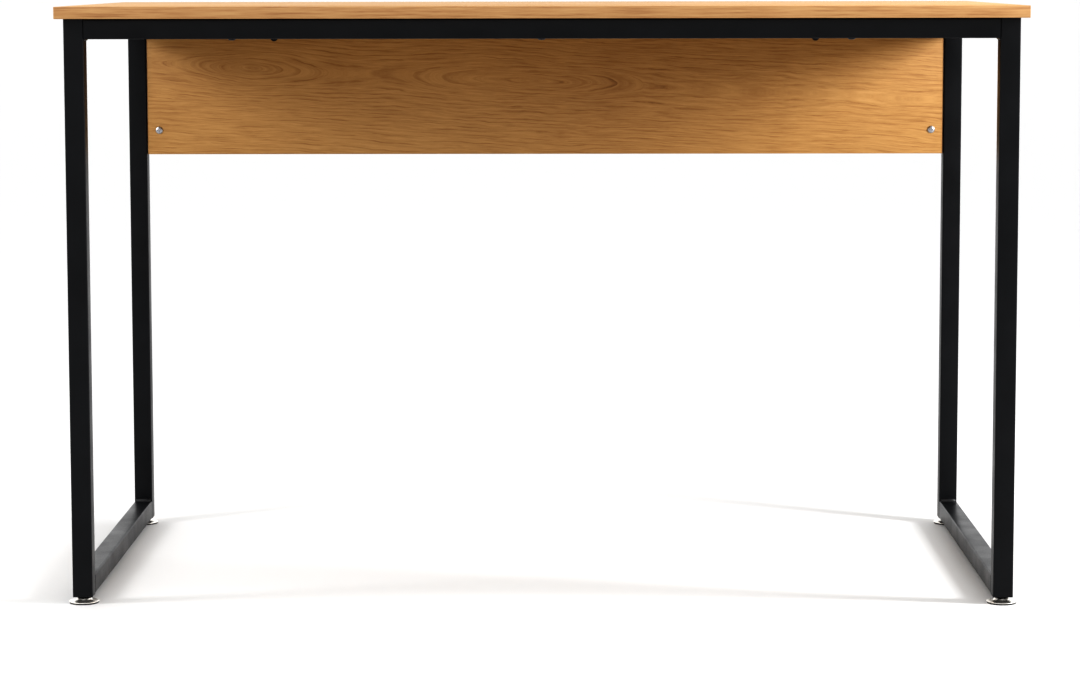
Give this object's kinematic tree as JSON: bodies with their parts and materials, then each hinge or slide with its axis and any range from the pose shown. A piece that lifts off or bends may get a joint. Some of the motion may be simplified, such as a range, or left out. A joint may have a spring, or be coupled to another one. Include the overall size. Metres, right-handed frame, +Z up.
{
  "type": "writing desk",
  "caption": "Plain rectangular desk: oak-effect laminate board on a black square-tube frame, with a modesty panel and screw-in levelling feet.",
  "frame": {"origin": "on the floor, under the middle of the desk, with all feet screwed home", "axes": "+X along the desk to the user's right, +Y from the user's side to the modesty panel, +Z up"},
  "size_m": [1.2, 0.6, 0.748],
  "materials": {
    "oak_laminate": "satin oak-effect laminate with cathedral grain along the length",
    "oak_edge_band": "satin oak-effect edge band, straight grain",
    "black_powder_coat": "semi-gloss black powder coat, fine texture",
    "nickel_plate": "bright nickel plate",
    "zinc_plate": "bright zinc plate",
    "black_oxide": "black oxide on steel",
    "black_plastic": "matt black moulded plastic"
  },
  "bodies": {
    "frame": {"desktop_board": "oak_laminate", "desktop_edge_front": "oak_edge_band", "desktop_edge_left": "oak_edge_band", "desktop_edge_rear": "oak_edge_band", "desktop_edge_right": "oak_edge_band", "desktop_screw_front_1": "black_oxide", "desktop_screw_front_2": "black_oxide", "desktop_screw_front_3": "black_oxide", "desktop_screw_left": "black_oxide", "desktop_screw_rear_1": "black_oxide", "desktop_screw_rear_2": "black_oxide", "desktop_screw_rear_3": "black_oxide", "desktop_screw_right": "black_oxide", "floor_rail_left": "black_powder_coat", "floor_rail_right": "black_powder_coat", "foot_insert_front_left": "black_plastic", "foot_insert_front_right": "black_plastic", "foot_insert_rear_left": "black_plastic", "foot_insert_rear_right": "black_plastic", "foot_nut_front_left": "zinc_plate", "foot_nut_front_right": "zinc_plate", "foot_nut_rear_left": "zinc_plate", "foot_nut_rear_right": "zinc_plate", "front_post_left": "black_powder_coat", "front_post_right": "black_powder_coat", "front_rail": "black_powder_coat", "modesty_edge_bottom": "oak_edge_band", "modesty_edge_left": "oak_edge_band", "modesty_edge_right": "oak_edge_band", "modesty_panel": "oak_laminate", "panel_nut_lower_left": "zinc_plate", "panel_nut_lower_right": "zinc_plate", "panel_nut_upper_left": "zinc_plate", "panel_nut_upper_right": "zinc_plate", "panel_screw_lower_left": "zinc_plate", "panel_screw_lower_right": "zinc_plate", "panel_screw_upper_left": "black_oxide", "panel_screw_upper_right": "black_oxide", "panel_tab_lower_left": "black_powder_coat", "panel_tab_lower_right": "black_powder_coat", "panel_tab_upper_left": "black_powder_coat", "panel_tab_upper_right": "black_powder_coat", "rear_post_left": "black_powder_coat", "rear_post_right": "black_powder_coat", "rear_rail": "black_powder_coat", "side_rail_left": "black_powder_coat", "side_rail_right": "black_powder_coat"},
    "pad_front_left": {"foot_pad_front_left": "black_plastic"},
    "screw_foot_front_left": {"foot_disc_front_left": "nickel_plate", "foot_stem_front_left": "zinc_plate"},
    "pad_front_right": {"foot_pad_front_right": "black_plastic"},
    "screw_foot_front_right": {"foot_disc_front_right": "nickel_plate", "foot_stem_front_right": "zinc_plate"},
    "pad_rear_left": {"foot_pad_rear_left": "black_plastic"},
    "screw_foot_rear_left": {"foot_disc_rear_left": "nickel_plate", "foot_stem_rear_left": "zinc_plate"},
    "pad_rear_right": {"foot_pad_rear_right": "black_plastic"},
    "screw_foot_rear_right": {"foot_disc_rear_right": "nickel_plate", "foot_stem_rear_right": "zinc_plate"}
  },
  "joints": [
    {"name": "foot_height_front_left", "type": "slide", "parent": "frame", "child": "pad_front_left", "axis": [0, 0, -1], "range_m": [0, 0.01]},
    {"name": "foot_turn_front_left", "type": "hinge", "parent": "pad_front_left", "child": "screw_foot_front_left", "pos_m": [-0.5775, -0.2775, 0.005], "axis": [0, 0, -1], "range_deg": [0, 2880]},
    {"name": "foot_height_front_right", "type": "slide", "parent": "frame", "child": "pad_front_right", "axis": [0, 0, -1], "range_m": [0, 0.01]},
    {"name": "foot_turn_front_right", "type": "hinge", "parent": "pad_front_right", "child": "screw_foot_front_right", "pos_m": [0.5775, -0.2775, 0.005], "axis": [0, 0, -1], "range_deg": [0, 2880]},
    {"name": "foot_height_rear_left", "type": "slide", "parent": "frame", "child": "pad_rear_left", "axis": [0, 0, -1], "range_m": [0, 0.01]},
    {"name": "foot_turn_rear_left", "type": "hinge", "parent": "pad_rear_left", "child": "screw_foot_rear_left", "pos_m": [-0.5775, 0.2775, 0.005], "axis": [0, 0, -1], "range_deg": [0, 2880]},
    {"name": "foot_height_rear_right", "type": "slide", "parent": "frame", "child": "pad_rear_right", "axis": [0, 0, -1], "range_m": [0, 0.01]},
    {"name": "foot_turn_rear_right", "type": "hinge", "parent": "pad_rear_right", "child": "screw_foot_rear_right", "pos_m": [0.5775, 0.2775, 0.005], "axis": [0, 0, -1], "range_deg": [0, 2880]}
  ],
  "couplings": [
    {"joint": "foot_height_front_left", "follows": "foot_turn_front_left", "m_per_rad": 0.00019894},
    {"joint": "foot_height_front_right", "follows": "foot_turn_front_right", "m_per_rad": 0.00019894},
    {"joint": "foot_height_rear_left", "follows": "foot_turn_rear_left", "m_per_rad": 0.00019894},
    {"joint": "foot_height_rear_right", "follows": "foot_turn_rear_right", "m_per_rad": 0.00019894}
  ]
}
